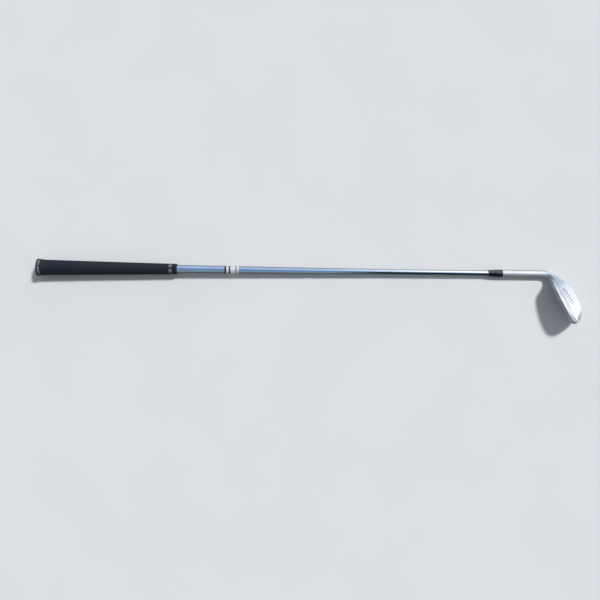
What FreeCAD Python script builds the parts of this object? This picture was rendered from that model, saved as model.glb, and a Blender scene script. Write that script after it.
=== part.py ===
import FreeCAD, Part
import math
import os

import Sketcher
from FreeCAD import Matrix, Placement, Rotation, Vector

# Left-handed pitching iron lying face down.
#
# Row frame: the shaft axis is +X, from the butt towards the head. The origin is the centre
# of the butt end. +Z is up, which is the side away from the target, so the striking face
# looks down. The toe of the head points towards -Y.
#
# Head frame, used only to shape the head: x is the target direction, y runs from heel to
# toe, z is up from the ground at address. Its origin is the heel point, where the shaft
# axis meets the ground.

SIZES = {
    # whole club
    "club_length": 908,
    "lie": 61,
    "loft": 46,
    # hosel, the socket that holds the shaft
    "hosel_length": 93,
    "hosel_radius": 6.6,
    "bore_radius": 4.9,
    "bore_depth": 34,
    # blade outline, seen square to the face
    "blade_length": 88.3,
    "heel_height": 36,
    "heel_station": 6,
    "peak_height": 54,
    "peak_station": 67,
    "topline_bow": 3,
    "toe_height": 30,
    "toe_top_power": 3,
    "toe_bottom_power": 3.2,
    "sole_turn": 67,
    "sole_low_station": 46,
    "sole_camber_radius": 175,
    # blade section
    "leading_edge_lead": 4.6,
    "leading_edge_lift": 1.3,
    "topline": 5.6,
    "blade_thickness": 4.5,
    "muscle_top": 34,
    "muscle_step": 1.5,
    "muscle_depth": 6.6,
    "sole_width": 28.5,
    "sole_toe_width": 8,
    "sole_middle_station": 42,
    "sole_half_span": 45,
    "sole_power": 2.6,
    "edge_softness": 1.5,
    # neck, where the hosel turns into the blade
    "neck_height": 4,
    "neck_radius": 24,
    "neck_end_station": 21,
    "neck_waist": 4,
    # flat milled into the face, and the score lines in it
    "face_mill_depth": 0.05,
    "face_mill_start": 20,
    "score_count": 10,
    "score_pitch": 3.3,
    "score_width": 0.8,
    "score_depth": 0.4,
    "score_length": 47,
    "score_station": 44.5,
    "score_first": 5,
    # painted bars engraved in the muscle
    "mark_count": 7,
    "mark_pitch": 4.6,
    "mark_station": 42,
    "mark_height": 12,
    "mark_width": 1.5,
    "mark_length": 5.4,
    "mark_slant": 25,
    "mark_depth": 0.35,
    # shaft, a stepped steel tube
    "shaft_start": 2.6,
    "shaft_butt_radius": 7.62,
    "shaft_tip_radius": 4.7,
    "shaft_butt_bore": 7.15,
    "shaft_tip_bore": 4,
    "first_step": 211,
    "step_pitch": 37,
    "step_count": 11,
    "step_ramp": 0.5,
    # bond and weight plug at the tip of the shaft
    "bond_floor": 0.3,
    "plug_length": 24,
    "plug_collar": 1.5,
    "plug_chamfer": 0.8,
    # ferrule, the collar above the hosel
    "ferrule_length": 24.6,
    "ferrule_end_radius": 5.5,
    "ferrule_shoulder": 5,
    "ferrule_fillet": 0.4,
    # grip
    "grip_length": 244.8,
    "tape_thickness": 0.3,
    "tape_end": 243.3,
    "cap_rim_radius": 15.5,
    "cap_fillet": 1.1,
    "vent_radius": 2,
    "flare_start_radius": 15,
    "flare_end": 14,
    "flare_end_radius": 13.6,
    "grip_upper_radius": 12.8,
    "grip_upper_station": 51,
    "grip_middle_radius": 11.1,
    "grip_middle_station": 140,
    "grip_mouth_radius": 9.2,
    "mouth_fillet": 0.8,
    # painted dashes let into the grip
    "dash_depth": 0.3,
    "butt_dash_count": 6,
    "butt_dash_start": 3.1,
    "butt_dash_end": 6.4,
    "butt_dash_angle": 52,
    "mouth_dash_count": 6,
    "mouth_dash_start": 230.4,
    "mouth_dash_end": 236,
    "mouth_dash_angle": 38,
    # printed band round the shaft
    "band_start": 327.8,
    "band_thickness": 0.12,
    "band_ring_1_end": 331,
    "band_silver_end": 335.4,
    "band_ring_2_end": 338.2,
    "band_label_end": 347.2,
    "band_ring_3_end": 348.8,
    "band_end": 353,
    "band_step": 4,
}
SHEET = "Sizes"
FULL_TURN = 360
TINY = 1e-6
MATCH_GAP = 0.01

# The head's skin is a cubic surface over a net of control points: rows of SECTION_POLES
# points round the section, one row after another from the top of the hosel to the toe.
DEGREE = 3
SECTION_POLES = 28
FACE_MIDDLE_POLE = 4.5
HOSEL_SHARES = (1, 0.97, 0.8, 0.6, 0.4, 0.25, 0.1)
NECK_STEPS = 11
BLADE_STEPS = 9
TOE_STEPS = 9
TOE_CAP_SHARES = (0.85, 0.5, 0.25)
# Extra points shared out along the face, topline, upper back, muscle step, muscle and rear.
EXTRA_POLES = (4, 0, 2, 0, 1, 0)
# Shares of the section's height or depth.
MUSCLE_TOP_LIMIT = 0.7
REAR_RISE_LIMIT = 0.42
SOLE_LOW_RISE = 0.34
SOLE_LOW_DEPTH = 0.47


# ---------------------------------------------------------------- document helpers


def make_sheet(doc):
    """Spreadsheet with one named cell for each driving dimension."""
    sheet = doc.addObject("Spreadsheet::Sheet", SHEET)
    for row, (name, value) in enumerate(SIZES.items(), start=1):
        sheet.set(f"A{row}", name)
        sheet.set(f"B{row}", str(value))
        sheet.setAlias(f"B{row}", name)
    doc.recompute()
    return sheet


def cells(expression):
    """Expression text in which each bare dimension name points at its cell."""
    words = []
    for word in expression.replace("(", "( ").replace(")", " )").split():
        words.append(f"{SHEET}.{word}" if word in SIZES else word)
    return " ".join(words)


def origin_plane(body, role):
    return next(item for item in body.Origin.OriginFeatures if item.Role == role)


def add_sketch(body, name, plane):
    sketch = body.newObject("Sketcher::SketchObject", name)
    sketch.AttachmentSupport = [(plane, "")]
    sketch.MapMode = "FlatFace"
    return sketch


def bind_coordinate(sketch, line, axis, expression):
    """Ties one coordinate of a line's start point to the sheet."""
    value = sketch.evalExpression(cells(expression))
    if abs(value) < TINY:
        axis_line = -1 if axis == "Y" else -2
        sketch.addConstraint(Sketcher.Constraint("PointOnObject", line, 1, axis_line))
        return
    kind = "Distance" + axis
    index = sketch.addConstraint(Sketcher.Constraint(kind, -1, 1, line, 1, value))
    sketch.setExpression(f"Constraints[{index}]", cells(expression))


def draw_outline(sketch, corners):
    """Closed polygon whose corners are pairs of expressions."""
    points = []
    for corner in corners:
        values = [float(sketch.evalExpression(cells(text))) for text in corner]
        points.append(Vector(values[0], values[1], 0))
    count = len(points)
    for index, point in enumerate(points):
        sketch.addGeometry(Part.LineSegment(point, points[(index + 1) % count]), False)
    for index in range(count):
        following = (index + 1) % count
        sketch.addConstraint(Sketcher.Constraint("Coincident", index, 2, following, 1))
    for index, (along, across) in enumerate(corners):
        bind_coordinate(sketch, index, "X", along)
        bind_coordinate(sketch, index, "Y", across)


def revolve(body, name, kind, corners):
    """Turned feature about the shaft axis; corners are (station, radius) expressions."""
    sketch = add_sketch(body, name + "_outline", origin_plane(body, "XY_Plane"))
    draw_outline(sketch, corners)
    feature = body.newObject("PartDesign::" + kind, name)
    feature.Profile = sketch
    feature.ReferenceAxis = (sketch, ["H_Axis"])
    feature.Angle = FULL_TURN
    sketch.Visibility = False
    return feature


def add_body(doc, label):
    body = doc.addObject("PartDesign::Body", label)
    body.Label = label
    return body


def turned_body(doc, label, corners):
    body = add_body(doc, label)
    revolve(body, label + "_turning", "Revolution", corners)
    doc.recompute()
    return body


def ring_edges(shape, station, radius):
    """Names of the circular edges at a station along the axis with a given radius."""
    names = []
    for index, edge in enumerate(shape.Edges, start=1):
        curve = edge.Curve
        if not isinstance(curve, Part.Circle):
            continue
        off = max(abs(curve.Center.x - station), abs(curve.Radius - radius))
        if off < MATCH_GAP:
            names.append(f"Edge{index}")
    if not names:
        raise ValueError(f"no ring edge at {station}, radius {radius}")
    return names


def dress_edges(body, name, kind, edges, size_property, expression):
    """Fillet or chamfer on the body's present tip."""
    base = body.Tip
    feature = body.newObject("PartDesign::" + kind, name)
    feature.Base = (base, edges)
    feature.setExpression(size_property, cells(expression))
    body.Document.recompute()
    return feature


# ---------------------------------------------------------------- head skin


class HeadShape:
    """Outline and section of the blade, worked out from the sheet."""

    def __init__(self, sheet):
        for name in SIZES:
            setattr(self, name, float(sheet.get(name)))
        loft = math.radians(self.loft)
        self.up_face = Vector(-math.sin(loft), 0, math.cos(loft))
        self.behind = Vector(-math.cos(loft), 0, -math.sin(loft))
        self.edge = Vector(self.leading_edge_lead, 0, self.leading_edge_lift)

    def top(self, station):
        """Height of the topline above the leading edge, up the face."""
        run = (station - self.heel_station) / (self.peak_station - self.heel_station)
        if run <= 1:
            bow = 4 * self.topline_bow * run * (1 - run)
            return self.heel_height + (self.peak_height - self.heel_height) * run + bow
        closing = (station - self.peak_station) / (self.blade_length - self.peak_station)
        rise = self.peak_height - self.toe_height
        return self.toe_height + rise * self.round_off(closing, self.toe_top_power)

    def bottom(self, station):
        """Height of the leading edge curve, up the face."""
        reach = min(station, self.sole_turn) - self.sole_low_station
        camber = reach * reach / (2 * self.sole_camber_radius)
        if station <= self.sole_turn:
            return camber
        closing = (station - self.sole_turn) / (self.blade_length - self.sole_turn)
        drop = self.toe_height - camber
        return self.toe_height - drop * self.round_off(closing, self.toe_bottom_power)

    @staticmethod
    def round_off(closing, power):
        return max(0.0, 1 - min(closing, 1.0) ** power) ** (1 / power)

    def crescent(self, station):
        """Sole width at a station as a share of the full width."""
        reach = abs(station - self.sole_middle_station) / self.sole_half_span
        narrowing = 1 - self.sole_toe_width / self.sole_width
        return 1 - narrowing * min(reach, 1.0) ** self.sole_power

    def section_corners(self, station):
        """Corners of the blade section as (height up the face, depth behind it)."""
        bottom = self.bottom(station)
        room = self.top(station) - bottom
        full_room = self.top(min(station, self.peak_station))
        wide = self.crescent(station)
        loft = math.radians(self.loft)
        rear_rise = min(self.sole_width * wide * math.sin(loft), REAR_RISE_LIMIT * room)
        rear_depth = self.sole_width * wide * math.cos(loft)
        fold = room * min(self.muscle_top / full_room, MUSCLE_TOP_LIMIT)
        step = room * self.muscle_step / full_room
        belly = self.blade_thickness + (self.muscle_depth - self.blade_thickness) * wide
        return [
            (bottom, 0.0),
            (bottom + room, 0.0),
            (bottom + room, self.topline),
            (bottom + fold, self.blade_thickness),
            (bottom + fold - step, belly),
            (bottom + rear_rise, rear_depth),
            (bottom + SOLE_LOW_RISE * rear_rise, SOLE_LOW_DEPTH * rear_depth),
        ]

    def section_poles(self, station):
        """Control points of the section: three at each corner, more along the flats."""
        *corners, low = [
            self.edge + self.up_face * up + self.behind * depth
            for up, depth in self.section_corners(station)
        ]
        poles = []
        for index, corner in enumerate(corners):
            before = corners[index - 1] if index else low
            after = corners[index + 1] if index + 1 < len(corners) else low
            start = self.towards(corner, after)
            poles += [self.towards(corner, before), corner, start]
            span = self.towards(after, corner) - start
            extra = EXTRA_POLES[index]
            poles += [start + span * ((k + 1) / (extra + 1)) for k in range(extra)]
        for end in (corners[-1], corners[0]):
            poles.append((self.towards(end, low) + low) * 0.5)
        poles.insert(-1, low)
        return [Vector(pole.x, station, pole.z) for pole in poles]

    def towards(self, corner, other):
        """Point a short way from a corner along the straight line to another."""
        gap = other - corner
        if gap.Length < TINY:
            return corner
        return corner + gap * (min(self.edge_softness, gap.Length / 3) / gap.Length)

    def neck_rows(self):
        """Rows of control points down the hosel and round the neck to the blade."""
        lie = math.radians(self.lie)
        tangent = self.neck_radius * math.tan(lie / 2)
        bend_start = self.neck_height / math.sin(lie) + tangent
        bend_end = tangent - self.neck_height / math.tan(lie)
        rows = []
        for share in HOSEL_SHARES:
            along = bend_start + (self.hosel_length - bend_start) * share
            spine = Vector(0, -along * math.cos(lie), along * math.sin(lie))
            rows.append(self.blended_row(spine, lie, bend_end, 0, 0))
        bend_length = self.neck_radius * lie
        flat_length = self.neck_end_station - bend_end
        for step in range(1, NECK_STEPS):
            run = (bend_length + flat_length) * step / NECK_STEPS
            tilt = lie * max(0, 1 - run / bend_length)
            flat = max(0, run - bend_length)
            spine = Vector(
                0,
                bend_end - self.neck_radius * math.sin(tilt) + flat,
                self.neck_height + self.neck_radius * (1 - math.cos(tilt)),
            )
            blend = self.ease(step / NECK_STEPS)
            waist = self.neck_waist * math.sin(math.pi * step / NECK_STEPS)
            rows.append(self.blended_row(spine, tilt, bend_end + flat, blend, waist))
        return rows

    @staticmethod
    def ease(share):
        return share * share * (3 - 2 * share)

    def blended_row(self, spine, tilt, station, blend, waist):
        """Section between the round hosel and the blade.

        blend is how far the shape has gone over to the blade's, and waist is how much
        the outer side of the bend is drawn in.
        """
        up = Vector(0, math.sin(tilt), math.cos(tilt))
        step = 2 * math.pi / SECTION_POLES
        reach = self.hosel_radius * 6 / (4 + 2 * math.cos(step))
        row = []
        for index, pole in enumerate(self.section_poles(station)):
            angle = (index - FACE_MIDDLE_POLE) * step
            half_height = reach if math.sin(angle) > 0 else reach - waist
            forward = reach * math.cos(angle) * (1 - blend) + pole.x * blend
            height = half_height * math.sin(angle) * (1 - blend)
            height += (pole.z - self.neck_height) * blend
            row.append(spine + Vector(forward, 0, 0) + up * height)
        return row

    def blade_rows(self):
        """Rows of control points from the neck to the toe."""
        rows = []
        reach = self.peak_station - self.neck_end_station
        for step in range(BLADE_STEPS):
            station = self.neck_end_station + reach * step / BLADE_STEPS
            rows.append(self.section_poles(station))
        reach = self.blade_length - self.peak_station
        for step in range(TOE_STEPS):
            share = math.sin(math.pi / 2 * step / TOE_STEPS)
            rows.append(self.section_poles(self.peak_station + reach * share))
        return rows

    def toe_cap_rows(self, end):
        """Rows that draw the last section in to close the toe."""
        middle = sum(end, Vector()) * (1 / len(end))
        rows = []
        for share in TOE_CAP_SHARES:
            drawn_in = [middle + (pole - middle) * share for pole in end]
            rows.append([Vector(pole.x, self.blade_length, pole.z) for pole in drawn_in])
        return rows

    def skin(self):
        """Closed solid of the whole head: hosel, neck and blade in one smooth surface."""
        rows = self.neck_rows() + self.blade_rows()
        rows += self.toe_cap_rows(rows[-1])
        surface = Part.BSplineSurface()
        spans = len(rows) - DEGREE
        row_mults = [DEGREE + 1] + [1] * (spans - 1) + [DEGREE + 1]
        ring_mults = [1] * (SECTION_POLES + 1)
        row_knots = [float(knot) for knot in range(spans + 1)]
        ring_knots = [float(knot) for knot in range(SECTION_POLES + 1)]
        surface.buildFromPolesMultsKnots(
            rows, row_mults, ring_mults, row_knots, ring_knots, False, True, DEGREE, DEGREE
        )
        side = surface.toShape().Faces[0]
        rims = [edge for edge in side.Edges if edge.isClosed() and not edge.isSeam(side)]
        caps = [Part.Face(Part.Wire([rim])) for rim in rims]
        shell = Part.Shell([side] + caps)
        shell.sewShape()
        solid = Part.Solid(shell)
        if solid.Volume < 0:
            solid.reverse()
        return solid


# ---------------------------------------------------------------- head


def head_placement(sheet):
    """Lays the head frame face down on the end of the shaft."""
    lie = math.radians(sheet.get("lie"))
    across, along = math.cos(lie), math.sin(lie)
    heel = sheet.get("club_length")
    matrix = Matrix(
        0, across, -along, heel,
        0, -along, -across, 0,
        -1, 0, 0, 0,
        0, 0, 0, 1,
    )  # fmt: skip
    return Placement(matrix)


def add_head_skin(doc, shape, placement):
    skin = doc.addObject("Part::Feature", "head_skin")
    skin.Shape = shape.skin()
    skin.Placement = placement
    return skin


def add_hosel_bore(doc):
    """Blind hole that takes the shaft tip."""
    bore = doc.addObject("Part::Cylinder", "hosel_bore")
    bore.setExpression("Radius", cells("bore_radius"))
    bore.setExpression("Height", cells("bore_depth"))
    bore.Placement = Placement(Vector(), Rotation(Vector(0, 1, 0), 90))
    bore.setExpression("Placement.Base.x", cells("club_length - hosel_length"))
    return bore


def face_placement(shape, placement):
    """Frame on the milled face: X towards the toe, Y up the face, Z out of it."""
    toe_wards = Vector(0, 1, 0)
    out = toe_wards.cross(shape.up_face)
    start = shape.edge + toe_wards * shape.score_station - out * shape.face_mill_depth
    rotation = Rotation(toe_wards, shape.up_face, out, "ZXY")
    return placement.multiply(Placement(start, rotation))


def add_face_mill(doc, shape, placement):
    """Block whose underside takes a thin skim off the face, so that it is truly flat."""
    mill = doc.addObject("Part::Box", "face_mill")
    mill.setExpression("Length", cells("blade_length"))
    mill.setExpression("Width", cells("blade_length"))
    mill.setExpression("Height", cells("hosel_radius"))
    corner = Vector(shape.face_mill_start - shape.score_station, -shape.sole_width, 0)
    mill.Placement = face_placement(shape, placement).multiply(Placement(corner, Rotation()))
    return mill


def add_score_cutter(doc, shape, placement):
    """Row of V grooves; its own frame has X towards the toe and Y up the face."""
    body = add_body(doc, "score_cutter")
    sketch = add_sketch(body, "score_outline", origin_plane(body, "YZ_Plane"))
    corners = [
        ("score_first - score_width", "score_width - score_depth"),
        ("score_first", "0 - score_depth"),
        ("score_first + score_width", "score_width - score_depth"),
    ]
    draw_outline(sketch, corners)
    groove = body.newObject("PartDesign::Pad", "score_line")
    groove.Profile = sketch
    groove.setExpression("Length", cells("score_length"))
    groove.Midplane = True
    pattern = body.newObject("PartDesign::LinearPattern", "score_lines")
    pattern.Originals = [groove]
    pattern.Direction = (sketch, ["H_Axis"])
    pattern.setExpression("Length", cells("score_pitch * (score_count - 1)"))
    pattern.setExpression("Occurrences", cells("score_count"))
    body.Tip = pattern
    doc.recompute()
    body.Placement = face_placement(shape, placement)
    return body


def add_mark_cutters(doc, skin, shape, placement):
    """Slanted bars that straddle the rear wall of the muscle, each square to it."""
    bars = []
    side = max(skin.Shape.Faces, key=lambda face: face.Area)
    for index in range(int(shape.mark_count)):
        offset = (index - (shape.mark_count - 1) / 2) * shape.mark_pitch
        station = shape.mark_station + offset
        depth = shape.sole_width * shape.crescent(station) - shape.leading_edge_lead
        guess = placement.multVec(Vector(-depth, station, shape.mark_height))
        u, v = side.Surface.parameter(guess)
        normal = side.normalAt(u, v)
        up = placement.Rotation.multVec(Vector(0, 0, 1))
        turn = Rotation(normal, shape.mark_slant)
        upright = Rotation(Vector(), up, normal, "ZYX")
        bar = doc.addObject("Part::Box", f"mark_cutter_{index + 1}")
        bar.setExpression("Length", cells("mark_width"))
        bar.setExpression("Width", cells("mark_length"))
        bar.setExpression("Height", cells("mark_depth * 2"))
        half = Vector(shape.mark_width / 2, shape.mark_length / 2, shape.mark_depth)
        rotation = turn.multiply(upright)
        bar.Placement = Placement(side.valueAt(u, v) - rotation.multVec(half), rotation)
        bars.append(bar)
    marks = doc.addObject("Part::MultiFuse", "mark_cutters")
    marks.Shapes = bars
    doc.recompute()
    return marks


def add_head(doc, sheet):
    """Forged head and the paint in its engraving."""
    shape = HeadShape(sheet)
    placement = head_placement(sheet)
    skin = add_head_skin(doc, shape, placement)
    marks = add_mark_cutters(doc, skin, shape, placement)
    tools = [
        add_hosel_bore(doc),
        add_face_mill(doc, shape, placement),
        add_score_cutter(doc, shape, placement),
        marks,
    ]
    base = skin
    for number, tool in enumerate(tools, start=1):
        cut = doc.addObject("Part::Cut", f"head_cut_{number}")
        cut.Base = base
        cut.Tool = tool
        doc.recompute()
        base = cut
    base.Label = "club_head"
    paint = doc.addObject("Part::Common", "muscle_paint")
    paint.Base = skin
    paint.Tool = marks
    doc.recompute()
    paint.Label = "muscle_paint"
    return [base, paint]


# ---------------------------------------------------------------- shaft and its bond


def step_radius(count):
    """Radius of the shaft after so many steps."""
    drop = "(shaft_butt_radius - shaft_tip_radius) / step_count"
    return f"shaft_butt_radius - {count} * {drop}"


def add_shaft(doc, sheet):
    end = "club_length - hosel_length + bore_depth - bond_floor - plug_collar"
    outer = [("shaft_start", "shaft_butt_radius")]
    for number in range(int(sheet.get("step_count"))):
        station = f"first_step + {number} * step_pitch"
        outer.append((station, step_radius(number)))
        outer.append((f"{station} + step_ramp", step_radius(number + 1)))
    outer.append((end, "shaft_tip_radius"))
    inner = [
        (end, "shaft_tip_bore"),
        ("first_step + (step_count - 1) * step_pitch", "shaft_tip_bore"),
        ("first_step", "shaft_butt_bore"),
        ("shaft_start", "shaft_butt_bore"),
    ]
    return turned_body(doc, "shaft", outer + inner)


def add_tip_plug(doc):
    """Weight plug pressed into the shaft tip, with a collar the tube end sits on."""
    collar_end = "club_length - hosel_length + bore_depth - bond_floor"
    tube_end = f"{collar_end} - plug_collar"
    pin_end = f"{tube_end} - plug_length"
    corners = [
        (pin_end, "0"),
        (pin_end, "shaft_tip_bore"),
        (tube_end, "shaft_tip_bore"),
        (tube_end, "shaft_tip_radius"),
        (collar_end, "shaft_tip_radius"),
        (collar_end, "0"),
    ]
    body = turned_body(doc, "tip_plug", corners)
    station = body.evalExpression(cells(pin_end))
    edges = ring_edges(body.Shape, station, doc.getObject(SHEET).get("shaft_tip_bore"))
    dress_edges(body, "plug_lead_in", "Chamfer", edges, "Size", "plug_chamfer")
    return body


def add_hosel_bond(doc):
    """Cured epoxy between the shaft tip and the hosel bore."""
    mouth = "club_length - hosel_length"
    floor = "club_length - hosel_length + bore_depth"
    corners = [
        (mouth, "shaft_tip_radius"),
        (f"{floor} - bond_floor", "shaft_tip_radius"),
        (f"{floor} - bond_floor", "0"),
        (floor, "0"),
        (floor, "bore_radius"),
        (mouth, "bore_radius"),
    ]
    return turned_body(doc, "hosel_epoxy", corners)


def add_ferrule(doc):
    mouth = "club_length - hosel_length"
    top = f"{mouth} - ferrule_length"
    corners = [
        (top, "shaft_tip_radius"),
        (top, "ferrule_end_radius"),
        (f"{mouth} - ferrule_shoulder", "hosel_radius"),
        (mouth, "hosel_radius"),
        (mouth, "shaft_tip_radius"),
    ]
    body = turned_body(doc, "ferrule", corners)
    station = body.evalExpression(cells(top))
    edges = ring_edges(body.Shape, station, doc.getObject(SHEET).get("ferrule_end_radius"))
    dress_edges(body, "ferrule_round", "Fillet", edges, "Radius", "ferrule_fillet")
    return body


# ---------------------------------------------------------------- grip


def tape_outline(inner_offset, outer_offset):
    """Sleeve outline over the stepped butt of the shaft."""
    return [
        ("shaft_start", f"shaft_butt_radius + {inner_offset}"),
        ("first_step", f"shaft_butt_radius + {inner_offset}"),
        ("first_step + step_ramp", f"{step_radius(1)} + {inner_offset}"),
        ("tape_end", f"{step_radius(1)} + {inner_offset}"),
        ("tape_end", f"{step_radius(1)} + {outer_offset}"),
        ("first_step + step_ramp", f"{step_radius(1)} + {outer_offset}"),
        ("first_step", f"shaft_butt_radius + {outer_offset}"),
        ("shaft_start", f"shaft_butt_radius + {outer_offset}"),
    ]


def add_grip_tape(doc):
    return turned_body(doc, "grip_tape", tape_outline("0", "tape_thickness"))


def sleeve_outline():
    """Rubber sleeve: flared butt, long taper, and a bore that fits over the tape."""
    inside = [
        ("shaft_start", "shaft_butt_radius + tape_thickness"),
        ("first_step", "shaft_butt_radius + tape_thickness"),
        ("first_step + step_ramp", f"{step_radius(1)} + tape_thickness"),
        ("tape_end", f"{step_radius(1)} + tape_thickness"),
        ("tape_end", step_radius(1)),
        ("grip_length", step_radius(1)),
    ]
    outside = [
        ("grip_length", "grip_mouth_radius"),
        ("grip_middle_station", "grip_middle_radius"),
        ("grip_upper_station", "grip_upper_radius"),
        ("flare_end", "flare_end_radius"),
        ("shaft_start", "flare_start_radius"),
    ]
    return inside + outside


def line_radius(start, start_radius, end, end_radius, station):
    """Expression for the radius at a station on a straight taper."""
    slope = f"({end_radius} - {start_radius}) / ({end} - {start})"
    return f"{start_radius} + ({station} - {start}) * {slope}"


def butt_surface(station):
    ends = ("shaft_start", "flare_start_radius", "flare_end", "flare_end_radius")
    return line_radius(*ends, station)


def mouth_surface(station):
    ends = ("grip_middle_station", "grip_middle_radius", "grip_length", "grip_mouth_radius")
    return line_radius(*ends, station)


def dash_outline(start, end, surface, height):
    """Section of one painted dash: below the surface by its depth, above it by height."""
    return [
        (start, f"{surface(start)} - dash_depth"),
        (end, f"{surface(end)} - dash_depth"),
        (end, f"{surface(end)} + {height}"),
        (start, f"{surface(start)} + {height}"),
    ]


def dash_ring(body, name, kind, surface, height):
    """One dash turned part of the way round, then repeated round the axis."""
    start, end = f"{name}_dash_start", f"{name}_dash_end"
    dash = revolve(body, f"{name}_dash", kind, dash_outline(start, end, surface, height))
    dash.setExpression("Angle", cells(f"{name}_dash_angle"))
    dash.Midplane = True
    pattern = body.newObject("PartDesign::PolarPattern", f"{name}_dashes")
    pattern.Originals = [dash]
    pattern.Axis = (dash.Profile[0], ["H_Axis"])
    pattern.Angle = FULL_TURN
    pattern.setExpression("Occurrences", cells(f"{name}_dash_count"))
    body.Tip = pattern
    body.Document.recompute()
    return pattern


def add_grip_sleeve(doc):
    body = turned_body(doc, "grip_sleeve", sleeve_outline())
    sheet = doc.getObject(SHEET)
    mouth = (sheet.get("grip_length"), sheet.get("grip_mouth_radius"))
    edges = ring_edges(body.Shape, *mouth)
    dress_edges(body, "mouth_round", "Fillet", edges, "Radius", "mouth_fillet")
    for name, surface in DASH_RINGS.items():
        before = body.Shape.Volume
        dash_ring(body, name, "Groove", surface, "dash_depth")
        if body.Shape.Volume >= before:
            raise ValueError(f"the {name} dashes cut nothing")
    return body


def add_grip_paint(doc, name, surface):
    label = f"grip_{name}_paint"
    body = add_body(doc, label)
    body.AllowCompound = True
    dash_ring(body, name, "Revolution", surface, "0")
    return body


def add_end_cap(doc):
    """Butt cap: a flat disc with a rounded rim and a vent hole on the axis."""
    corners = [
        ("0", "vent_radius"),
        ("0", "cap_rim_radius"),
        ("shaft_start", "cap_rim_radius"),
        ("shaft_start", "vent_radius"),
    ]
    body = turned_body(doc, "grip_end_cap", corners)
    sheet = doc.getObject(SHEET)
    rim = sheet.get("cap_rim_radius")
    edges = ring_edges(body.Shape, 0, rim)
    edges += ring_edges(body.Shape, sheet.get("shaft_start"), rim)
    dress_edges(body, "rim_round", "Fillet", edges, "Radius", "cap_fillet")
    return body


# ---------------------------------------------------------------- printed band


def add_band(doc, label, spans):
    """Thin printed rings that lie side by side on the shaft."""
    inner = step_radius("band_step")
    body = add_body(doc, label)
    body.AllowCompound = True
    for number, (start, end) in enumerate(spans, start=1):
        corners = [
            (start, inner),
            (end, inner),
            (end, f"{inner} + band_thickness"),
            (start, f"{inner} + band_thickness"),
        ]
        revolve(body, f"{label}_{number}", "Revolution", corners)
        doc.recompute()
    return body


DASH_RINGS = {"butt": butt_surface, "mouth": mouth_surface}
RING_SPANS = [
    ("band_start", "band_ring_1_end"),
    ("band_silver_end", "band_ring_2_end"),
    ("band_label_end", "band_ring_3_end"),
]
FILM_SPANS = [
    ("band_ring_1_end", "band_silver_end"),
    ("band_ring_2_end", "band_label_end"),
    ("band_ring_3_end", "band_end"),
]


# ---------------------------------------------------------------- build and export


def build_parts(doc, sheet):
    parts = add_head(doc, sheet)
    parts += [add_shaft(doc, sheet), add_tip_plug(doc), add_hosel_bond(doc)]
    parts += [add_ferrule(doc), add_grip_tape(doc), add_grip_sleeve(doc)]
    parts.append(add_end_cap(doc))
    for name, surface in DASH_RINGS.items():
        parts.append(add_grip_paint(doc, name, surface))
    parts.append(add_band(doc, "shaft_band_rings", RING_SPANS))
    parts.append(add_band(doc, "shaft_band_film", FILM_SPANS))
    return parts


def check_document(doc, parts):
    """Stops before anything is written if a feature failed or a shape is unsound."""
    for item in doc.Objects:
        if "Invalid" in item.State or "Error" in item.State:
            raise ValueError(f"{item.Name} failed: {item.State}")
    for part in parts:
        if part.Shape.isNull() or not part.Shape.isValid():
            raise ValueError(f"{part.Label} has no sound shape")


def main():
    doc = FreeCAD.newDocument("iron_club")
    sheet = make_sheet(doc)
    parts = build_parts(doc, sheet)
    doc.recompute()
    check_document(doc, parts)
    os.makedirs("parts", exist_ok=True)
    for part in parts:
        part.Shape.exportStep(f"parts/{part.Label}.step")
        solids = len(part.Shape.Solids)
        print(part.Label, solids, round(part.Shape.Volume, 1), part.Shape.BoundBox)


main()
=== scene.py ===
import math

import bpy
from mathutils import Matrix, Vector


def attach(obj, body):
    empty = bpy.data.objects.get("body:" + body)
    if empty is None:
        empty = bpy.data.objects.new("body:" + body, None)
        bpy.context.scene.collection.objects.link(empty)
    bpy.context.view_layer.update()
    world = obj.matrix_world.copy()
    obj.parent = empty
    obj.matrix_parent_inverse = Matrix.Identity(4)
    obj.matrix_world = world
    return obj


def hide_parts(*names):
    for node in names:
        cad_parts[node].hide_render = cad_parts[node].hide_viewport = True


# Looks of the left-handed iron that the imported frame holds. Same frame as the CAD: the shaft
# axis is +X from the butt to the head, +Z is up, and the toe points towards -Y. Stations and
# radii are in millimetres, and MM turns them into Blender's metres.

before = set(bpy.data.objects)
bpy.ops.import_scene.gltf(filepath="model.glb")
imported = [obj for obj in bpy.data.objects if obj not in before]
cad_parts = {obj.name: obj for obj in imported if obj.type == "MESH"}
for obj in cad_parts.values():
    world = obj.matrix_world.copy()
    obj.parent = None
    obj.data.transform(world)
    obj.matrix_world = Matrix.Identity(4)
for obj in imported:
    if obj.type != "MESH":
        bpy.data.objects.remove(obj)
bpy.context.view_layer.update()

MM = 0.001
FULL_TURN = 2 * math.pi
LIE = math.radians(61)

# grip, as (station, radius) along its outside and its bore
GRIP_OUTSIDE = ((2.6, 15.0), (14, 13.6), (51, 12.8), (140, 11.1), (244.8, 9.2))
GRIP_BORE = ((243.3, 7.355), (243.3, 7.655), (211.5, 7.655), (211, 7.92), (2.6, 7.92))
GRIP_SEGMENTS = 240
# distance between the sleeve's rows of points
GRIP_ROW_PITCH = 0.55
MOUTH_ROUND = 0.8
MOUTH_ROUND_STEPS = 5
# recesses for the painted dashes, and the length of the walls at their ends
DASH_DEPTH = 0.3
DASH_WALL = 0.04
DASH_CLEARANCE = 3 * DASH_WALL
# painted dash rings, as (start, end, count, width in degrees)
DASH_RINGS = ((3.1, 6.4, 6, 52), (230.4, 236, 6, 38))
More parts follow.
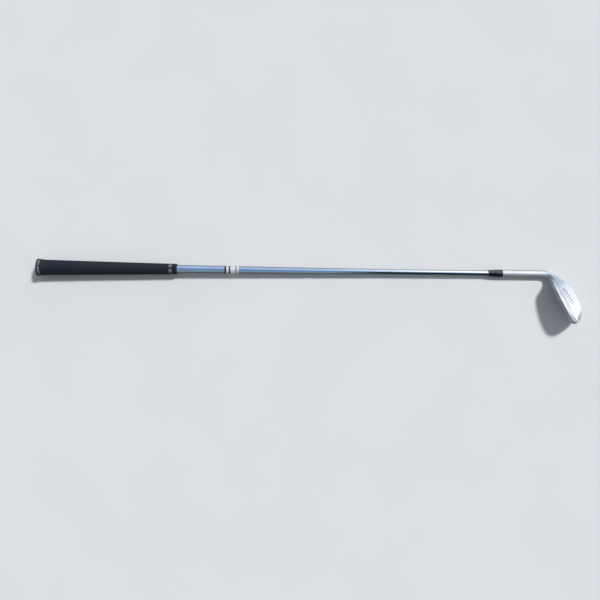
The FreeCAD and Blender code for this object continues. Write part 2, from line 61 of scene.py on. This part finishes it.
# turned ring grooves, as (first station, count, pitch)
GROOVE_SETS = ((10.4, 5, 2.6), (77.5, 5, 3.3))
GROOVE_HALF_WIDTH = 0.75
GROOVE_DEPTH = 0.35
# knurled zones, as (start, end), and the length of a knurl line's full turn
KNURL_ZONES = ((25, 74), (95, 225))
KNURL_FADE = 3
KNURL_DEPTH = 0.24
KNURL_STARTS = 30
KNURL_LEAD = 148
KNURL_SHARPNESS = 6

# end cap, as (station, radius) round its section
CAP_RIM = 15.5
CAP_THICKNESS = 2.6
CAP_ROUND = 1.1
CAP_ROUND_STEPS = 6
CAP_FACE = ((0.0, 12.6), (0.35, 12.2), (0.35, 11.2), (0.0, 10.8), (0.0, 5.2), (0.4, 4.7), (0.4, 2.0))
CAP_SEGMENTS = 128

# camera, which looks straight down on ground that leans a little under the club
CAMERA_LEAN = math.radians(8.7)
CAMERA_HEIGHT = 1081 * MM
CAMERA_STATION = 381 * MM
CAMERA_SIDE = -52.5 * MM
PICTURE_TURN = math.radians(0.76)
PICTURE_WIDTH = 1054.8 * MM
PICTURE_SHIFT = 0.076
SENSOR = 36.0

# floor, which touches the butt's rim and, near the head, the hosel
FLOOR_HALF_SIZE = 12.0
FLOOR_COLOUR = (0.8, 0.81, 0.82)
FLOOR_MOTTLE = 0.96
BUTT_RIM_RADIUS = 15.5 * MM
HOSEL_RADIUS = 6.6 * MM
HOSEL_STATION = 890 * MM

# lamp, with the direction from the club towards it, and the even light all round
KEY_DIRECTION = (0.426, 0.418, 0.803)
KEY_STRENGTH = 2.6
KEY_ANGLE = math.radians(9)
FILL_COLOUR = (0.86, 0.92, 1.0)
FILL_STRENGTH = 0.3
BACKDROP_COLOUR = (0.72, 0.74, 0.77)

# studio sky that only mirrors see
HORIZON_BLUE = (0.22, 0.36, 0.56)
ZENITH_BLUE = (0.13, 0.27, 0.53)
LAMP_GLOW = (0.55, 0.68, 0.9)
SOFTBOX_WHITE = (2.1, 2.12, 2.15)
SIDE_PANEL_BLUE = (0.42, 0.55, 0.78)
SIDE_PANEL_WHITE = (1.0, 1.08, 1.12)
BUTT_END_SHADE = (0.08, 0.1, 0.13)
TOE_SIDE_GREY = (0.2, 0.26, 0.28)
FLAG_BLACK = (0.01, 0.013, 0.016)
GROUND_DARK = (0.08, 0.09, 0.09)
GROUND_LIGHT = (0.2, 0.23, 0.26)
# where its parts fade in, by direction: across is +X, side is +Y, height is +Z, and sunward
# is across plus a share of side
SUNWARD_SHARE = 0.7
ZENITH_FADE = (0.2, 1.0)
GLOW_FADE = (0.0, 0.4)
SOFTBOX_FADE = (0.38, 0.62)
SIDE_PANEL_FADE = (0.3, 0.6)
SIDE_PANEL_CHANGE = (0.1, 0.3)
BUTT_END_FADE = (-0.3, -0.8)
TOE_SIDE_FADE = (-0.55, -0.9)
FLAG_START = (0.12, 0.2)
FLAG_END = (0.5, 0.38)
FLAG_REACH = (-0.1, -0.4)
GROUND_CHANGE = (-0.3, 0.3)
GROUND_FADE = (0.0, -0.08)


# ---------------------------------------------------------------- shader nodes


class Nodes:
    """Short calls for the shader nodes of one node tree."""

    # sockets that the Mix node uses for colours
    MIX_FACTOR, MIX_FIRST, MIX_SECOND = 0, 6, 7
    MIX_COLOUR = 2

    def __init__(self, tree, coordinates):
        self.tree = tree
        self.place = self.node("TexCoord").outputs[coordinates]

    def node(self, kind, settings=None, **inputs):
        """New node, with its settings and, by name, what goes into its sockets."""
        node = self.tree.nodes.new("ShaderNode" + kind)
        for name, value in (settings or {}).items():
            setattr(node, name, value)
        for name, value in inputs.items():
            self.put(node.inputs[name.replace("_", " ")], value)
        return node

    def put(self, socket, value):
        """Joins another node's output to a socket, or gives the socket a plain value."""
        if isinstance(value, bpy.types.NodeSocket):
            self.tree.links.new(value, socket)
        elif isinstance(value, tuple) and len(value) == 3 and socket.type == "RGBA":
            socket.default_value = (*value, 1)
        else:
            socket.default_value = value

    def spread(self, value, from_low, from_high, low, high):
        """Straight-line change of range, held at the ends."""
        node = self.node("MapRange", Value=value)
        ends = {"From Min": from_low, "From Max": from_high, "To Min": low, "To Max": high}
        for name, end in ends.items():
            node.inputs[name].default_value = end
        return node.outputs["Result"]

    def fade(self, value, limits):
        """0 at the first limit and 1 at the second."""
        return self.spread(value, *limits, 0, 1)

    def mix(self, factor, first, second):
        node = self.node("Mix", {"data_type": "RGBA"})
        self.put(node.inputs[self.MIX_FACTOR], factor)
        self.put(node.inputs[self.MIX_FIRST], first)
        self.put(node.inputs[self.MIX_SECOND], second)
        return node.outputs[self.MIX_COLOUR]

    def math(self, operation, first, second):
        node = self.node("Math", {"operation": operation})
        self.put(node.inputs[0], first)
        self.put(node.inputs[1], second)
        return node.outputs[0]


class Finish(Nodes):
    """A material under construction."""

    def __init__(self, name):
        self.material = bpy.data.materials.new(name)
        self.material.use_nodes = True
        super().__init__(self.material.node_tree, "Object")
        self.surface = self.tree.nodes["Principled BSDF"]

    def grain(self, size, turn=0.0):
        """Coordinates measured in grains of a size in millimetres, turned about Z."""
        scale = tuple(side * MM for side in size)
        mapping = self.node("Mapping", {"vector_type": "TEXTURE"}, Vector=self.place)
        mapping.inputs["Rotation"].default_value = (0, 0, turn)
        mapping.inputs["Scale"].default_value = scale
        return mapping.outputs["Vector"]

    def noise(self, size, detail=3.0, turn=0.0, roughness=0.5):
        """Cloudy pattern, about 0.3 to 0.7, with patches of a size in millimetres."""
        size = size if isinstance(size, tuple) else (size, size, size)
        inputs = {"Vector": self.grain(size, turn), "Detail": detail, "Roughness": roughness}
        return self.node("TexNoise", **inputs, Scale=1.0).outputs["Fac"]

    def cells(self, size):
        """Distance to the nearest of many scattered points, in the size of their spacing."""
        vector = self.grain((size, size, size))
        return self.node("TexVoronoi", Vector=vector, Scale=1.0).outputs["Distance"]

    def outward(self):
        """Direction straight out from the shaft axis, which ignores the shaft's tiny steps."""
        parts = self.node("SeparateXYZ", Vector=self.place).outputs
        across = self.node("CombineXYZ", Y=parts["Y"], Z=parts["Z"]).outputs["Vector"]
        return self.node("VectorMath", {"operation": "NORMALIZE"}, Vector=across).outputs["Vector"]

    def hollow(self, reach):
        """1 on open faces, falling to 0 in grooves and corners within reach millimetres."""
        settings = {"samples": 4, "only_local": True}
        return self.node("AmbientOcclusion", settings, Distance=reach * MM).outputs["AO"]

    def bump(self, height, depth, under=None):
        """Fine relief whose full height is depth millimetres."""
        node = self.node("Bump", Height=height, Strength=1.0, Distance=depth * MM)
        if under:
            self.put(node.inputs["Normal"], under)
        return node.outputs["Normal"]

    def finish(self, colour, roughness, normal, **extra):
        """Gives the surface its inputs and returns the finished material."""
        self.put(self.surface.inputs["Base Color"], colour)
        self.put(self.surface.inputs["Roughness"], roughness)
        self.put(self.surface.inputs["Normal"], normal)
        for name, value in extra.items():
            self.put(self.surface.inputs[name.replace("_", " ")], value)
        return self.material


# ---------------------------------------------------------------- materials


def satin_steel():
    """Forged and satin-plated steel: fine grain along the blade, smudges, bag marks, and painted
    shade in its hollows and grooves.
    """
    f = Finish("satin_steel")
    plain, bright = (0.74, 0.75, 0.76), (0.83, 0.84, 0.85)
    smudged, shaded, groove_shade = (0.56, 0.57, 0.6), (0.36, 0.38, 0.41), (0.16, 0.165, 0.175)
    grain = f.noise((7, 0.11, 0.11), detail=2, turn=-LIE)
    cloud = f.noise(14, detail=4)
    smudge = f.noise(5, detail=5, roughness=0.65)
    nicks = f.spread(f.cells(2.6), 0.0, 0.07, 1.0, 0.0)
    nicks = f.math("MULTIPLY", nicks, f.fade(f.noise(20), (0.5, 0.62)))
    colour = f.mix(f.fade(cloud, (0.35, 0.65)), plain, bright)
    colour = f.mix(f.spread(smudge, 0.55, 0.75, 0, 0.35), colour, smudged)
    # painted shade: darker steel in the hollows, out to 14 mm from the walls that close them in
    colour = f.mix(f.spread(f.hollow(14), 0.55, 0.95, 0.7, 0), colour, shaded)
    # painted shade: much darker steel in grooves and tight corners, within 1.2 mm
    colour = f.mix(f.spread(f.hollow(1.2), 0.45, 0.95, 0.75, 0), colour, groove_shade)
    rough = f.spread(smudge, 0.3, 0.75, 0.27, 0.37)
    rough = f.math("ADD", rough, f.spread(grain, 0.3, 0.7, -0.04, 0.05))
    relief = f.bump(grain, 0.012)
    relief = f.bump(nicks, -0.04, relief)
    return f.finish(colour, rough, relief, Metallic=0.75)


def polished_chrome():
    """Mirror plating with faint handling haze and hairline scratches."""
    f = Finish("polished_chrome")
    clear, hazy = (0.88, 0.9, 0.92), (0.8, 0.83, 0.86)
    haze = f.noise((22, 6, 6), detail=4, roughness=0.6)
    hairline = f.noise((0.5, 14, 14), detail=2)
    colour = f.mix(f.fade(haze, (0.4, 0.7)), clear, hazy)
    rough = f.spread(haze, 0.4, 0.75, 0.04, 0.1)
    relief = f.bump(hairline, 0.0015, f.outward())
    return f.finish(colour, rough, relief, Metallic=1.0)


def gloss_black_plastic(name="gloss_black_plastic", wear=0.5):
    """Turned black plastic: polished, with fine lathe rings and rubbed patches."""
    f = Finish(name)
    black, rubbed = (0.008, 0.009, 0.011), (0.03, 0.031, 0.034)
    rub = f.noise(6, detail=5, roughness=0.6)
    rings = f.noise((0.16, 60, 60), detail=1)
    worn = f.spread(rub, 0.5, 0.75, 0, wear)
    colour = f.mix(worn, black, rubbed)
    rough = f.spread(rub, 0.35, 0.75, 0.1, 0.24)
    relief = f.bump(rings, 0.004)
    return f.finish(colour, rough, relief, Specular_IOR_Level=0.8, Coat_Weight=0.8)


def moulded_rubber():
    """Blue-black grip rubber: pebbled skin, a little paler in the grooves."""
    f = Finish("moulded_rubber")
    black, blue_black, dusty = (0.004, 0.005, 0.008), (0.008, 0.009, 0.014), (0.03, 0.03, 0.029)
    pebble = f.noise(0.28, detail=2)
    handled = f.noise((40, 18, 18), detail=3)
    dirt = f.spread(f.hollow(0.8), 0.55, 0.95, 1.0, 0.0)
    colour = f.mix(f.fade(handled, (0.35, 0.65)), black, blue_black)
    colour = f.mix(f.math("MULTIPLY", dirt, 0.45), colour, dusty)
    rough = f.spread(handled, 0.35, 0.65, 0.46, 0.6)
    rough = f.math("ADD", rough, f.math("MULTIPLY", dirt, 0.2))
    relief = f.bump(pebble, 0.03)
    gloss = {"Specular_IOR_Level": 0.65, "Sheen_Weight": 0.03, "Sheen_Tint": (0.5, 0.6, 0.9)}
    return f.finish(colour, rough, relief, **gloss)


def worn_paint(name, fresh, worn, rough=0.45):
    """Filled paint that has rubbed thin in places."""
    f = Finish(name)
    rub = f.noise(0.9, detail=5, roughness=0.65)
    patch = f.noise(6, detail=3)
    amount = f.fade(rub, (0.42, 0.7))
    amount = f.math("MULTIPLY", amount, f.spread(patch, 0.3, 0.7, 0.3, 1))
    colour = f.mix(amount, fresh, worn)
    rough = f.spread(rub, 0.3, 0.7, rough - 0.08, rough + 0.15)
    return f.finish(colour, rough, f.bump(rub, 0.02))


def printed_film(name, colour, streak, shine):
    """Thin printed decal under clear lacquer, with a brushed foil look."""
    f = Finish(name)
    scuffed = (0.4, 0.4, 0.39)
    foil = f.noise((0.5, 8, 8), detail=2)
    scuff = f.noise(1.6, detail=5, roughness=0.7)
    tone = f.mix(f.fade(foil, (0.35, 0.65)), colour, streak)
    tone = f.mix(f.spread(scuff, 0.62, 0.72, 0, 0.5), tone, scuffed)
    rough = f.spread(scuff, 0.35, 0.7, 0.16, 0.4)
    return f.finish(tone, rough, f.bump(scuff, 0.003), Metallic=shine, Coat_Weight=0.6)


def masking_tape():
    """Crepe paper tape."""
    f = Finish("masking_tape")
    valley, ridge = (0.72, 0.63, 0.42), (0.8, 0.73, 0.54)
    crepe = f.noise((0.7, 5, 5), detail=4)
    colour = f.mix(f.fade(crepe, (0.35, 0.65)), valley, ridge)
    return f.finish(colour, 0.8, f.bump(crepe, 0.05))


def cured_epoxy():
    """Amber resin with small bubbles."""
    f = Finish("cured_epoxy")
    bubble, resin = (0.66, 0.58, 0.38), (0.55, 0.46, 0.26)
    bubbles = f.cells(0.8)
    colour = f.mix(f.fade(bubbles, (0.1, 0.5)), bubble, resin)
    rough = f.spread(f.noise(3), 0.3, 0.7, 0.15, 0.35)
    return f.finish(colour, rough, f.bump(bubbles, 0.02))


def turned_brass():
    """Brass straight off the lathe."""
    f = Finish("turned_brass")
    fresh, stained = (0.78, 0.6, 0.28), (0.6, 0.43, 0.2)
    rings = f.noise((0.12, 40, 40), detail=1)
    stain = f.noise(4, detail=4)
    colour = f.mix(f.fade(stain, (0.4, 0.7)), fresh, stained)
    rough = f.spread(stain, 0.3, 0.7, 0.22, 0.4)
    return f.finish(colour, rough, f.bump(rings, 0.01), Metallic=1.0)


def dress(node, material):
    """Gives a CAD node one material."""
    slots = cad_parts[node].data.materials
    slots.clear()
    slots.append(material)


# ---------------------------------------------------------------- meshes


def ring_mesh(name, loop, segments, material):
    """Closed ring-shaped solid: loop(angle) gives the section's points as (station, radius)."""
    points = []
    for segment in range(segments):
        angle = FULL_TURN * segment / segments
        for station, radius in loop(angle):
            side, height = math.cos(angle) * radius, math.sin(angle) * radius
            points.append((station * MM, side * MM, height * MM))
    count = len(points) // segments
    faces = []
    for segment in range(segments):
        here, there = segment * count, (segment + 1) % segments * count
        for index in range(count):
            following = (index + 1) % count
            faces.append((here + index, here + following, there + following, there + index))
    mesh = bpy.data.meshes.new(name)
    mesh.from_pydata(points, [], faces)
    mesh.polygons.foreach_set("use_smooth", [True] * len(faces))
    mesh.materials.append(material)
    mesh.update()
    piece = bpy.data.objects.new(name, mesh)
    bpy.context.scene.collection.objects.link(piece)
    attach(piece, "root")
    return piece


def taper(outline, station):
    """Radius at a station on an outline of straight tapers."""
    for (start, first), (end, last) in zip(outline, outline[1:]):
        if station <= end:
            return first + (last - first) * (station - start) / (end - start)
    return outline[-1][1]


def bell(offset, half_width):
    """Smooth bump: 1 in the middle, 0 beyond half_width."""
    share = min(abs(offset) / half_width, 1)
    return (1 - share * share) ** 2


def knurl(station, angle):
    """Depth of the diamond pattern, two crossing families of shallow grooves."""
    fade = 0
    for start, end in KNURL_ZONES:
        inside = min(station - start, end - station) / KNURL_FADE
        fade = max(fade, min(max(inside, 0), 1))
    if not fade:
        return 0
    deepest = 0
    for hand in (1, -1):
        phase = KNURL_STARTS * (angle + hand * FULL_TURN * station / KNURL_LEAD)
        deepest = max(deepest, (0.5 + 0.5 * math.cos(phase)) ** KNURL_SHARPNESS)
    return KNURL_DEPTH * fade * deepest


def ring_grooves(station):
    """Depth of the turned ring grooves."""
    depth = 0
    for first, count, pitch in GROOVE_SETS:
        for number in range(count):
            depth += GROOVE_DEPTH * bell(station - first - number * pitch, GROOVE_HALF_WIDTH)
    return depth


def in_dash(angle, count, width):
    """Whether an angle lies within one of the dashes, the first of them centred on +Y."""
    pitch = 360 / count
    turned = math.degrees(angle) % pitch
    return min(turned, pitch - turned) < width / 2


def grip_stations():
    """Stations of the sleeve's rows, with close pairs at the ends of each dash ring."""
    start, end = GRIP_OUTSIDE[0][0], GRIP_OUTSIDE[-1][0] - MOUTH_ROUND
    count = round((end - start) / GRIP_ROW_PITCH)
    rows = {round(start + (end - start) * k / count, 3) for k in range(count + 1)}
    for first, last, _, _ in DASH_RINGS:
        for edge in (first, last):
            rows = {row for row in rows if abs(row - edge) > DASH_CLEARANCE}
            rows |= {edge - DASH_WALL / 2, edge + DASH_WALL / 2}
    return sorted(rows)


def mouth_round():
    """Quarter-round at the sleeve's mouth."""
    end, radius = GRIP_OUTSIDE[-1]
    points = []
    for step in range(1, MOUTH_ROUND_STEPS + 1):
        angle = math.pi / 2 * step / MOUTH_ROUND_STEPS
        drop = MOUTH_ROUND * (1 - math.cos(angle))
        points.append((end - MOUTH_ROUND * (1 - math.sin(angle)), radius - drop))
    return points


def build_grip(rubber):
    """Rubber sleeve with ring grooves, knurling and recesses for the painted dashes."""
    stations = grip_stations()
    plain = {row: taper(GRIP_OUTSIDE, row) - ring_grooves(row) for row in stations}
    tail = mouth_round() + [(GRIP_OUTSIDE[-1][0], GRIP_BORE[0][1])] + list(GRIP_BORE)

    def loop(angle):
        points = []
        for row in stations:
            depth = knurl(row, angle)
            for first, last, count, width in DASH_RINGS:
                if first < row < last and in_dash(angle, count, width):
                    depth = DASH_DEPTH
            points.append((row, plain[row] - depth))
        return points + tail

    grip = ring_mesh("grip_sleeve_rubber", loop, GRIP_SEGMENTS, rubber)
    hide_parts("grip_sleeve")


def build_end_cap(rubber):
    """Butt cap with a rounded rim, a shallow ring groove and the vent hole."""
    loop = list(reversed(CAP_FACE))
    for centre, start in ((CAP_ROUND, -math.pi / 2), (CAP_THICKNESS - CAP_ROUND, 0)):
        for step in range(CAP_ROUND_STEPS + 1):
            angle = start + math.pi / 2 * step / CAP_ROUND_STEPS
            station = centre + CAP_ROUND * math.sin(angle)
            loop.append((station, CAP_RIM - CAP_ROUND + CAP_ROUND * math.cos(angle)))
    loop.append((CAP_THICKNESS, CAP_FACE[-1][1]))
    cap = ring_mesh("grip_end_cap_rubber", lambda angle: loop, CAP_SEGMENTS, rubber)
    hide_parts("grip_end_cap")


# ---------------------------------------------------------------- floor, light and camera


def build_floor():
    """Pale floor that the butt rim and the hosel rest on, hidden from mirror rays."""
    f = Finish("pale_floor")
    tone = f.fade(f.noise(180, detail=4), (0.3, 0.7))
    darker = tuple(FLOOR_MOTTLE * part for part in FLOOR_COLOUR)
    relief = f.bump(f.noise(0.9, detail=2), 0.02)
    material = f.finish(f.mix(tone, FLOOR_COLOUR, darker), 0.85, relief)
    slope = (BUTT_RIM_RADIUS - HOSEL_RADIUS) / HOSEL_STATION
    corners = []
    for x, y in ((-1, -1), (1, -1), (1, 1), (-1, 1)):
        x, y = x * FLOOR_HALF_SIZE, y * FLOOR_HALF_SIZE
        corners.append((x, y, slope * x - BUTT_RIM_RADIUS))
    mesh = bpy.data.meshes.new("floor")
    mesh.from_pydata(corners, [], [(0, 1, 2, 3)])
    mesh.materials.append(material)
    floor = bpy.data.objects.new("floor", mesh)
    bpy.context.scene.collection.objects.link(floor)
    floor.visible_glossy = False


def build_key_light():
    """Soft lamp that lights the club but isn't mirrored in it."""
    lamp = bpy.data.lights.new("key_light", "SUN")
    lamp.energy = KEY_STRENGTH
    lamp.angle = KEY_ANGLE
    key = bpy.data.objects.new("key_light", lamp)
    key.rotation_euler = Vector(KEY_DIRECTION).to_track_quat("Z", "Y").to_euler()
    key.visible_glossy = False
    bpy.context.scene.collection.objects.link(key)


def studio_sky(f):
    """Colour that mirrors see in each direction: blue sky, white softbox and dark flag."""
    across, side, height = f.node("SeparateXYZ", Vector=f.place).outputs
    sky = f.mix(f.fade(height, ZENITH_FADE), HORIZON_BLUE, ZENITH_BLUE)
    sunward = f.math("ADD", across, f.math("MULTIPLY", side, SUNWARD_SHARE))
    sky = f.mix(f.fade(sunward, GLOW_FADE), sky, LAMP_GLOW)
    sky = f.mix(f.fade(sunward, SOFTBOX_FADE), sky, SOFTBOX_WHITE)
    panel = f.mix(f.fade(across, SIDE_PANEL_CHANGE), SIDE_PANEL_BLUE, SIDE_PANEL_WHITE)
    sky = f.mix(f.fade(side, SIDE_PANEL_FADE), sky, panel)
    sky = f.mix(f.fade(across, BUTT_END_FADE), sky, BUTT_END_SHADE)
    sky = f.mix(f.fade(side, TOE_SIDE_FADE), sky, TOE_SIDE_GREY)
    flag = f.math("MULTIPLY", f.fade(across, FLAG_START), f.fade(across, FLAG_END))
    flag = f.math("MULTIPLY", flag, f.fade(side, FLAG_REACH))
    sky = f.mix(flag, sky, FLAG_BLACK)
    ground = f.mix(f.fade(side, GROUND_CHANGE), GROUND_DARK, GROUND_LIGHT)
    return f.mix(f.fade(height, GROUND_FADE), sky, ground)


def build_surroundings():
    """Soft even light, a pale backdrop, and the studio sky for mirrors."""
    world = bpy.data.worlds.new("studio")
    bpy.context.scene.world = world
    world.use_nodes = True
    f = Nodes(world.node_tree, "Generated")
    rays = f.node("LightPath").outputs
    fill = tuple(FILL_STRENGTH * part for part in FILL_COLOUR)
    colour = f.mix(rays["Is Glossy Ray"], fill, studio_sky(f))
    colour = f.mix(rays["Is Camera Ray"], colour, BACKDROP_COLOUR)
    f.put(world.node_tree.nodes["Background"].inputs["Color"], colour)


def place_camera():
    """Camera above the club, square to the leaning ground."""
    up = Vector((0, -math.sin(CAMERA_LEAN), math.cos(CAMERA_LEAN)))
    across = Vector((0, math.cos(CAMERA_LEAN), math.sin(CAMERA_LEAN)))
    along = Vector((1, 0, 0))
    place = along * CAMERA_STATION + across * CAMERA_SIDE + up * CAMERA_HEIGHT
    right = along * math.cos(PICTURE_TURN) + across * math.sin(PICTURE_TURN)
    top = across * math.cos(PICTURE_TURN) - along * math.sin(PICTURE_TURN)
    data = bpy.data.cameras.new("photo_camera")
    data.sensor_width = SENSOR
    data.lens = SENSOR * CAMERA_HEIGHT / PICTURE_WIDTH
    data.shift_x = PICTURE_SHIFT
    data.clip_start = 10 * MM
    camera = bpy.data.objects.new("photo_camera", data)
    bpy.context.scene.collection.objects.link(camera)
    columns = (right, top, up, place)
    rows = [[column[row] for column in columns] for row in range(3)]
    camera.matrix_world = Matrix(rows + [[0, 0, 0, 1]])
    bpy.context.scene.camera = camera


def set_tones():
    """Plain display tones, so that blacks stay black and highlights stay white."""
    bpy.context.scene.view_settings.view_transform = "Standard"


# ---------------------------------------------------------------- the scene


def build():
    """New rubber pieces, a finish for each CAD node, and the studio."""
    rubber = moulded_rubber()
    build_grip(rubber)
    build_end_cap(rubber)
    dress("club_head", satin_steel())
    engraving = worn_paint("engraving_paint", fresh=(0.2, 0.21, 0.23), worn=(0.42, 0.43, 0.45))
    dress("muscle_paint", engraving)
    dress("shaft", polished_chrome())
    dress("tip_plug", turned_brass())
    dress("hosel_epoxy", cured_epoxy())
    dress("ferrule", gloss_black_plastic())
    dress("grip_tape", masking_tape())
    dashes = worn_paint("grip_paint", (0.2, 0.21, 0.22), (0.07, 0.075, 0.08), rough=0.5)
    dress("grip_butt_paint", dashes)
    dress("grip_mouth_paint", dashes)
    dress("shaft_band_rings", gloss_black_plastic("band_black", wear=0.2))
    film = printed_film("band_film", (0.93, 0.91, 0.9), streak=(0.8, 0.8, 0.81), shine=0.25)
    dress("shaft_band_film", film)
    build_floor()
    build_key_light()
    build_surroundings()
    place_camera()
    set_tones()


build()
